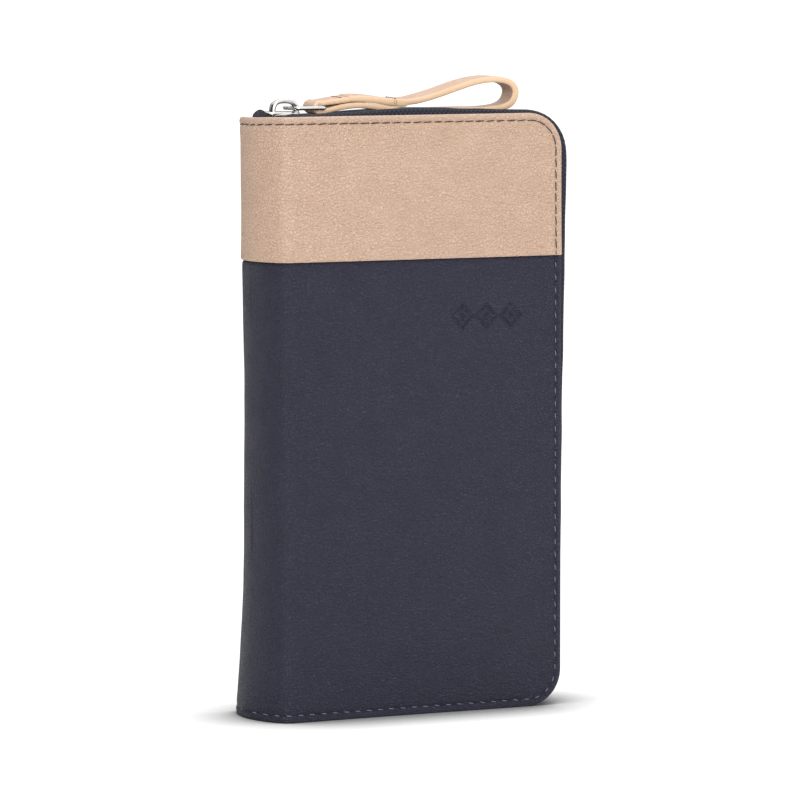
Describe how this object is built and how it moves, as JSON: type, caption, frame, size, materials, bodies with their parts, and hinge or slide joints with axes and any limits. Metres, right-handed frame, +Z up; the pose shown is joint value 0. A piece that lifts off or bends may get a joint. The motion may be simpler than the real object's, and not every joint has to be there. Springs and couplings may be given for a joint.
{
  "type": "passport holder wallet",
  "caption": "Upright zip-around travel wallet in two-tone leather that opens like a book, with passport sleeve, card slots, coin pocket and a wrist strap on the zip pull.",
  "frame": {"origin": "middle of the closed wallet's footprint, on the bottom edge it stands on", "axes": "+X across the cover away from the spine, +Y towards the back cover, +Z up along the wallet's height"},
  "size_m": [0.11, 0.031, 0.2123],
  "materials": {
    "leather_navy": "smooth matte leather",
    "leather_beige": "pebbled matte leather",
    "pocket_leather": "thin smooth pocket leather",
    "board": "stiff grey board",
    "lining": "woven lining cloth",
    "zip_tape": "woven zip tape",
    "zip_coil": "nylon zip coil",
    "nickel": "bright nickel plate"
  },
  "bodies": {
    "back_cover": {"back_leather_navy": "leather_navy", "back_leather_beige": "leather_beige", "back_board": "board", "back_lining": "lining", "note_pocket": "pocket_leather", "card_slot_1": "pocket_leather", "card_slot_2": "pocket_leather", "card_slot_3": "pocket_leather", "card_slot_4": "pocket_leather", "zip_tape_back": "zip_tape", "zip_coil_back": "zip_coil", "zip_top_stop_back": "nickel", "zip_bottom_stop": "nickel"},
    "spine": {"spine_leather_navy": "leather_navy", "spine_leather_beige": "leather_beige", "spine_board": "board", "spine_lining": "lining", "zip_end_tab_top": "zip_tape", "zip_end_tab_bottom": "zip_tape", "divider_panel_front": "lining", "divider_panel_back": "lining", "coin_gusset": "lining", "coin_zip_tape_front": "zip_tape", "coin_zip_tape_back": "zip_tape", "coin_zip_coil_front": "zip_coil", "coin_zip_coil_back": "zip_coil", "coin_zip_stops": "nickel"},
    "front_cover": {"front_leather_navy": "leather_navy", "front_leather_beige": "leather_beige", "front_board": "board", "front_lining": "lining", "passport_sleeve": "pocket_leather", "ticket_pocket": "pocket_leather", "zip_tape_front": "zip_tape", "zip_coil_front": "zip_coil", "zip_top_stop_front": "nickel"},
    "zip_slider": {"zip_slider_body": "nickel", "zip_slider_bridge": "nickel"},
    "pull_ring": {"pull_ring": "nickel"},
    "pull_strap": {"pull_strap": "leather_beige"},
    "coin_slider": {"coin_slider_body": "nickel", "coin_slider_bridge": "nickel"},
    "coin_pull": {"coin_pull": "nickel"}
  },
  "joints": [
    {"name": "spine_fold", "type": "hinge", "parent": "back_cover", "child": "spine", "pos_m": [-0.05057, 0.01507, 0.1], "axis": [0, 0, -1], "range_deg": [0, 90]},
    {"name": "front_fold", "type": "hinge", "parent": "spine", "child": "front_cover", "pos_m": [-0.05057, -0.01507, 0.1], "axis": [0, 0, -1], "range_deg": [0, 90]},
    {"name": "zip_slide", "type": "slide", "parent": "back_cover", "child": "zip_slider", "axis": [1, 0, 0], "range_m": [0, 0.08], "deforming": ["zip_coil_front", "zip_coil_back"]},
    {"name": "ring_hinge", "type": "hinge", "parent": "zip_slider", "child": "pull_ring", "pos_m": [-0.04055, 0, 0.2024], "axis": [0, -1, 0], "range_deg": [0, 135]},
    {"name": "strap_hinge", "type": "hinge", "parent": "pull_ring", "child": "pull_strap", "pos_m": [-0.03015, 0, 0.2024], "axis": [0, -1, 0], "range_deg": [0, 45]},
    {"name": "coin_zip_slide", "type": "slide", "parent": "spine", "child": "coin_slider", "axis": [0, 0, 1], "range_m": [0, 0.15], "deforming": ["coin_zip_coil_front", "coin_zip_coil_back"]},
    {"name": "coin_pull_hinge", "type": "hinge", "parent": "coin_slider", "child": "coin_pull", "pos_m": [0.03435, 0, 0.0211], "axis": [0, -1, 0], "range_deg": [0, 150]}
  ],
  "couplings": [
    {"joint": "front_fold", "follows": "spine_fold", "ratio": 1}
  ]
}
